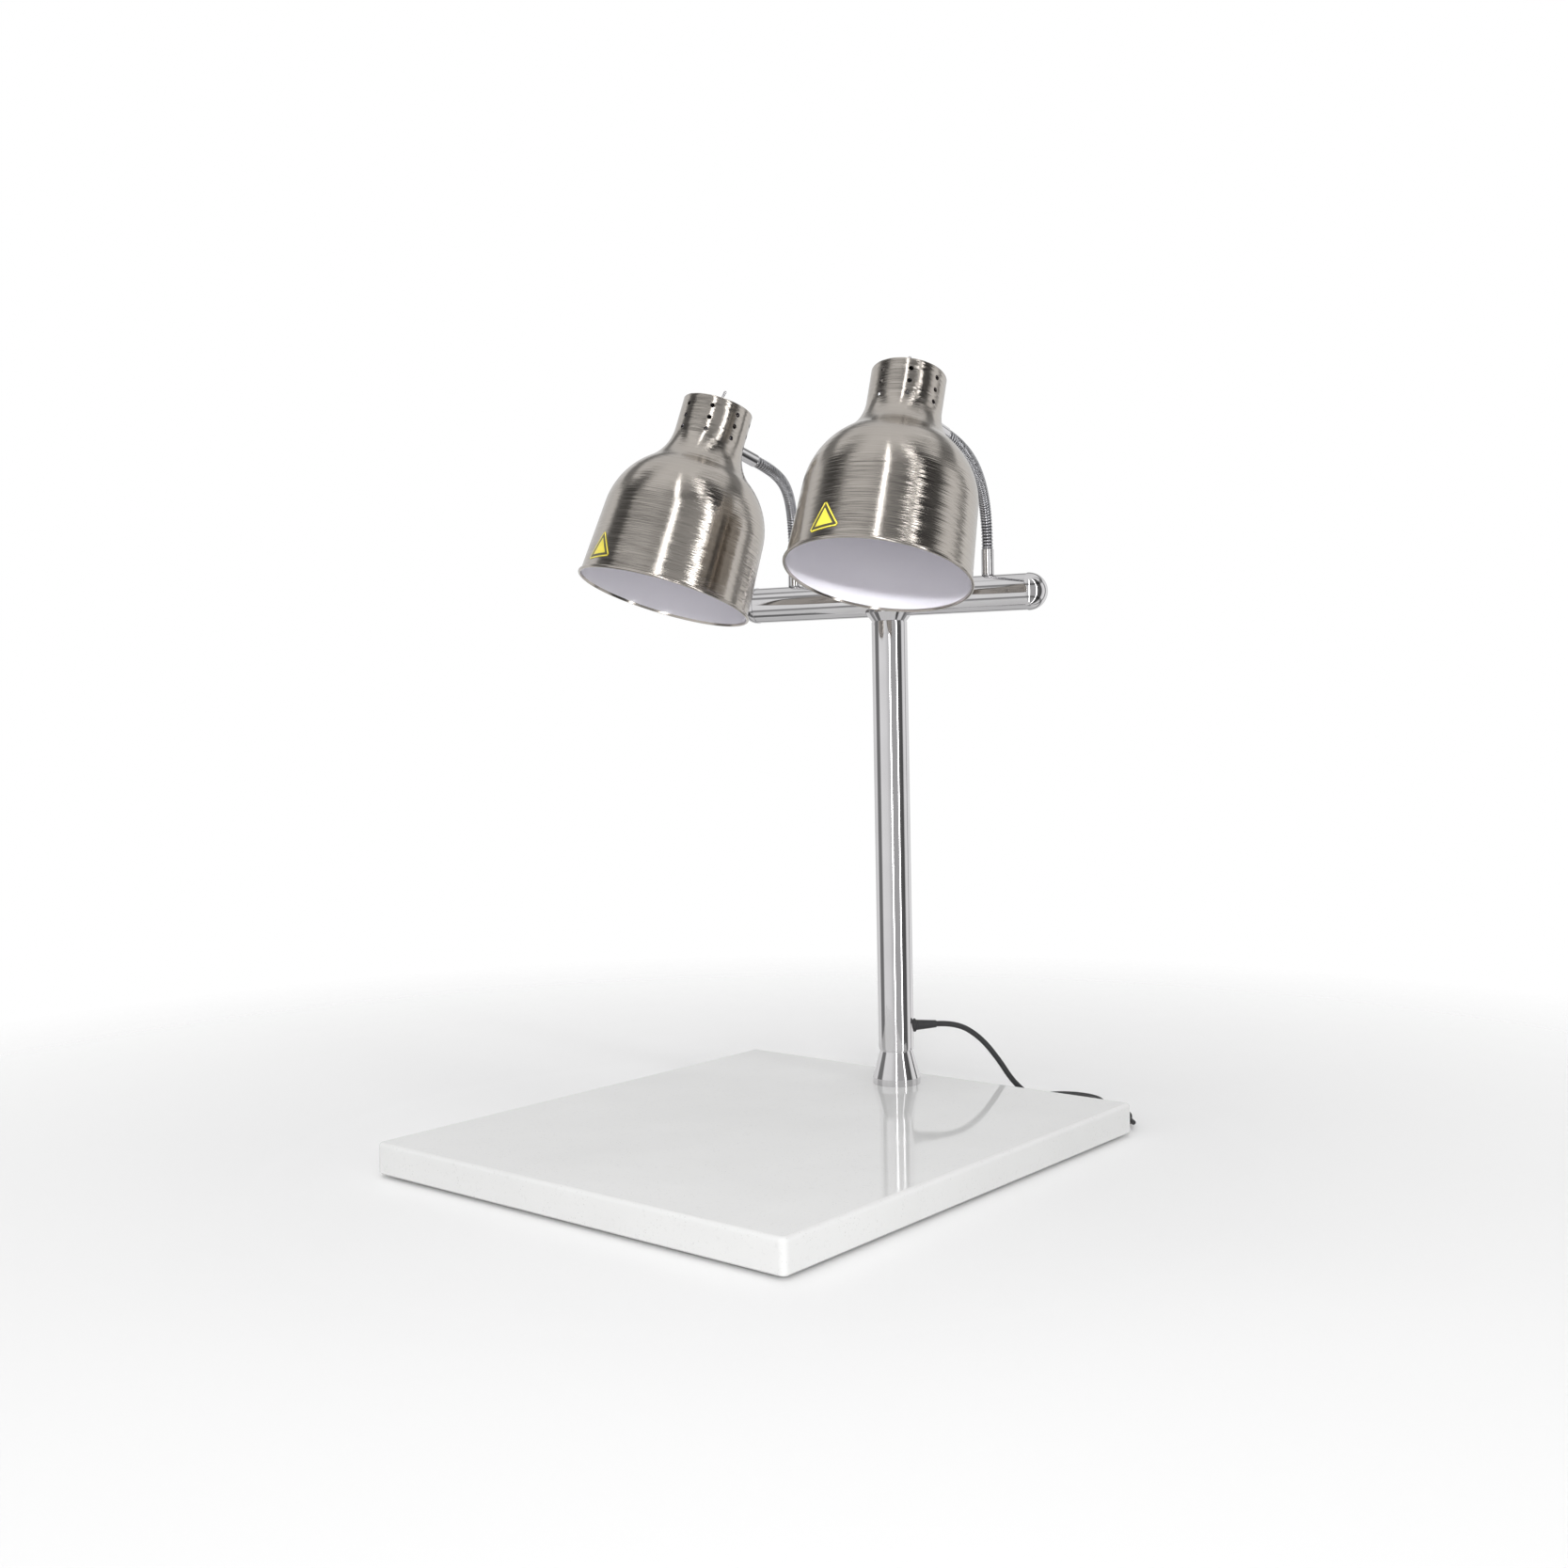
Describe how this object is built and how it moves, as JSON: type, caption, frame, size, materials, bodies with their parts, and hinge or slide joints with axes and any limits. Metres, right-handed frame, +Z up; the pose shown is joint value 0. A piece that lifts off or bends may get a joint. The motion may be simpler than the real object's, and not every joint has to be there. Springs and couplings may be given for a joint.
{
  "type": "heat lamp warmer",
  "caption": "Table-top food warmer: stone slab base, chrome pole with a turning crossbar, and bell heat lamps on flexible arms, with switches and a mains cord.",
  "frame": {"origin": "on the table under the middle of the stone slab", "axes": "+Z up, +X along the slab's rear edge to the right, +Y to the rear where the pole stands"},
  "size_m": [0.5, 0.6493, 0.7575],
  "materials": {
    "stone": "polished white quartz with fine dark specks",
    "black_rubber": "matt",
    "chrome": "polished",
    "zinc_steel": "bright zinc plate",
    "cord_black": "satin sheath",
    "black_plastic": "fine moulded grain",
    "lead_sleeve": "glass-fibre heat sleeve",
    "conduit_steel": "chromed wound steel",
    "brushed_shade": "turned brushing, white enamel inside",
    "white_porcelain": "glazed",
    "nickel_brass": "nickel-plated",
    "bulb_glass": "frosted face, silvered back"
  },
  "bodies": {
    "stand": {"stone_slab": "stone", "rubber_feet": "black_rubber", "foot_collar": "chrome", "base_stud": "zinc_steel", "base_washer": "zinc_steel", "base_nut": "zinc_steel", "pole_tube": "chrome", "pole_top_plug": "zinc_steel", "cord_strain_relief": "black_rubber", "pole_lead": "cord_black", "power_cord": "cord_black", "cord_coil": "cord_black", "plug": "black_plastic"},
    "crossbar": {"saddle_collar": "chrome", "crossbar_tube": "chrome", "saddle_nipple": "zinc_steel", "saddle_nuts": "zinc_steel", "end_caps": "chrome", "bar_leads": "lead_sleeve", "left_base_ferrule": "chrome", "right_base_ferrule": "chrome", "base_nipples": "zinc_steel", "base_nuts": "zinc_steel"},
    "left_arm_1": {"left_arm_link_1": "conduit_steel"},
    "left_arm_2": {"left_arm_link_2": "conduit_steel"},
    "left_arm_3": {"left_arm_link_3": "conduit_steel"},
    "left_arm_4": {"left_arm_link_4": "conduit_steel"},
    "left_lamp": {"left_shade": "brushed_shade", "left_top_cap": "brushed_shade", "left_cap_screws": "zinc_steel", "left_holder_bracket": "zinc_steel", "left_lamp_holder": "white_porcelain", "left_bulb_cap": "nickel_brass", "left_bulb_glass": "bulb_glass", "left_switch_body": "black_plastic", "left_switch_nut": "zinc_steel", "left_lamp_lead": "lead_sleeve", "left_top_ferrule": "chrome", "left_top_nipple": "zinc_steel", "left_top_nut": "zinc_steel"},
    "left_switch": {"left_switch_lever": "chrome"},
    "right_arm_1": {"right_arm_link_1": "conduit_steel"},
    "right_arm_2": {"right_arm_link_2": "conduit_steel"},
    "right_arm_3": {"right_arm_link_3": "conduit_steel"},
    "right_arm_4": {"right_arm_link_4": "conduit_steel"},
    "right_lamp": {"right_shade": "brushed_shade", "right_top_cap": "brushed_shade", "right_cap_screws": "zinc_steel", "right_holder_bracket": "zinc_steel", "right_lamp_holder": "white_porcelain", "right_bulb_cap": "nickel_brass", "right_bulb_glass": "bulb_glass", "right_switch_body": "black_plastic", "right_switch_nut": "zinc_steel", "right_lamp_lead": "lead_sleeve", "right_top_ferrule": "chrome", "right_top_nipple": "zinc_steel", "right_top_nut": "zinc_steel"},
    "right_switch": {"right_switch_lever": "chrome"}
  },
  "joints": [
    {"name": "crossbar_swivel", "type": "hinge", "parent": "stand", "child": "crossbar", "pos_m": [0, 0.218, 0.553], "axis": [0, 0, 1], "range_deg": [-60, 60]},
    {"name": "left_arm_bend_1", "type": "hinge", "parent": "crossbar", "child": "left_arm_1", "pos_m": [-0.106, 0.1886, 0.59905], "axis": [0.9636, 0.2672, 0], "range_deg": [-8, 8]},
    {"name": "left_arm_sway_1", "type": "hinge", "parent": "left_arm_1", "child": "left_arm_2", "pos_m": [-0.09844, 0.17787, 0.64188], "axis": [-0.2188, 0.7891, 0.574], "range_deg": [-8, 4]},
    {"name": "left_arm_bend_2", "type": "hinge", "parent": "left_arm_2", "child": "left_arm_3", "pos_m": [-0.07885, 0.14639, 0.66743], "axis": [0.9636, 0.2672, 0], "range_deg": [-8, 8]},
    {"name": "left_arm_sway_2", "type": "hinge", "parent": "left_arm_3", "child": "left_arm_4", "pos_m": [-0.05986, 0.10658, 0.67871], "axis": [-0.0614, 0.2216, 0.9732], "range_deg": [-8, 4]},
    {"name": "left_arm_bend_3", "type": "hinge", "parent": "left_arm_4", "child": "left_lamp", "pos_m": [-0.05242, 0.06302, 0.68808], "axis": [0.9636, 0.2672, 0], "range_deg": [-8, 8]},
    {"name": "left_switch_throw", "type": "hinge", "parent": "left_lamp", "child": "left_switch", "pos_m": [-0.05573, 0.01491, 0.73975], "axis": [-0.9823, 0.1644, 0.0902], "range_deg": [-25, 0]},
    {"name": "right_arm_bend_1", "type": "hinge", "parent": "crossbar", "child": "right_arm_1", "pos_m": [0.106, 0.2474, 0.59905], "axis": [0.9636, 0.2672, 0], "range_deg": [-8, 8]},
    {"name": "right_arm_sway_1", "type": "hinge", "parent": "right_arm_1", "child": "right_arm_2", "pos_m": [0.1161, 0.22715, 0.64274], "axis": [-0.1886, 0.6802, 0.7084], "range_deg": [-4, 8]},
    {"name": "right_arm_bend_2", "type": "hinge", "parent": "right_arm_2", "child": "right_arm_3", "pos_m": [0.13481, 0.18595, 0.66573], "axis": [0.9636, 0.2672, 0], "range_deg": [-8, 8]},
    {"name": "right_arm_sway_2", "type": "hinge", "parent": "right_arm_3", "child": "right_arm_4", "pos_m": [0.15213, 0.13988, 0.67898], "axis": [-0.0664, 0.2394, 0.9686], "range_deg": [-4, 8]},
    {"name": "right_arm_bend_3", "type": "hinge", "parent": "right_arm_4", "child": "right_lamp", "pos_m": [0.16064, 0.09132, 0.69089], "axis": [0.9636, 0.2672, 0], "range_deg": [-8, 8]},
    {"name": "right_switch_throw", "type": "hinge", "parent": "right_lamp", "child": "right_switch", "pos_m": [0.15376, 0.04434, 0.74324], "axis": [-0.9951, 0.0783, -0.0605], "range_deg": [0, 25]}
  ],
  "couplings": [
    {"joint": "left_arm_bend_2", "follows": "left_arm_bend_1", "ratio": 1},
    {"joint": "left_arm_sway_2", "follows": "left_arm_sway_1", "ratio": 1},
    {"joint": "left_arm_bend_3", "follows": "left_arm_bend_1", "ratio": 1},
    {"joint": "right_arm_bend_2", "follows": "right_arm_bend_1", "ratio": 1},
    {"joint": "right_arm_sway_2", "follows": "right_arm_sway_1", "ratio": 1},
    {"joint": "right_arm_bend_3", "follows": "right_arm_bend_1", "ratio": 1}
  ]
}
